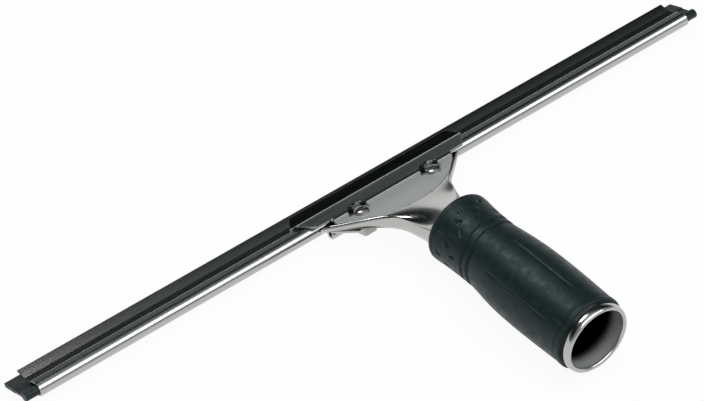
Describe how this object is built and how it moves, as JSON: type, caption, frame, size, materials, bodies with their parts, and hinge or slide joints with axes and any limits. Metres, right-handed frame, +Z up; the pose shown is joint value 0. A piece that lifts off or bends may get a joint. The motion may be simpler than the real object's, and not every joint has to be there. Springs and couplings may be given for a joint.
{
  "type": "window cleaning squeegee",
  "caption": "Hand squeegee for windows: steel handle with a rubber grip and pole socket, screw-clamped jaws, and a long steel channel that holds a black rubber blade.",
  "frame": {"origin": "centre of the pole socket's mouth, where its straight wall begins inside the rolled rim", "axes": "+Y along the handle from the socket to the blade, +X along the channel, +Z up from the blade's underside as it lies on a table"},
  "size_m": [0.3626, 0.1516, 0.0389],
  "materials": {
    "handle_steel": "polished stainless sheet with fine brushing",
    "grip_rubber": "matte black moulded rubber",
    "clamp_steel": "pressed stainless sheet, polished band and satin heel",
    "jaw_steel": "satin stainless sheet",
    "screw_steel": "plated steel, slightly worn",
    "nut_steel": "plated steel",
    "channel_steel": "stainless strip brushed along its length",
    "blade_rubber": "smooth black rubber strip"
  },
  "bodies": {
    "handle": {"handle_body": "handle_steel", "grip": "grip_rubber", "lower_jaw": "jaw_steel", "nut_left": "nut_steel", "nut_right": "nut_steel"},
    "clamp": {"clamp_plate": "clamp_steel"},
    "left_screw": {"screw_left": "screw_steel"},
    "right_screw": {"screw_right": "screw_steel"},
    "channel": {"channel": "channel_steel"},
    "blade": {"blade_rubber": "blade_rubber"}
  },
  "joints": [
    {"name": "clamp_lift", "type": "slide", "parent": "handle", "child": "clamp", "axis": [0, 0.3256, 0.9455], "range_m": [0, 0.0021]},
    {"name": "left_screw_turn", "type": "hinge", "parent": "clamp", "child": "left_screw", "pos_m": [-0.0194, 0.12555, -0.01001], "axis": [0, 0.3256, 0.9455], "range_deg": [0, 1080]},
    {"name": "right_screw_turn", "type": "hinge", "parent": "clamp", "child": "right_screw", "pos_m": [0.0194, 0.12555, -0.01001], "axis": [0, 0.3256, 0.9455], "range_deg": [0, 1080]},
    {"name": "channel_slide", "type": "slide", "parent": "handle", "child": "channel", "axis": [1, 0, 0], "range_m": [-0.226, 0.226]},
    {"name": "blade_slide", "type": "slide", "parent": "channel", "child": "blade", "axis": [1, 0, 0], "range_m": [-0.364, 0.364]}
  ],
  "couplings": [
    {"joint": "left_screw_turn", "follows": "clamp_lift", "rad_per_m": 8975},
    {"joint": "right_screw_turn", "follows": "clamp_lift", "rad_per_m": 8975}
  ]
}
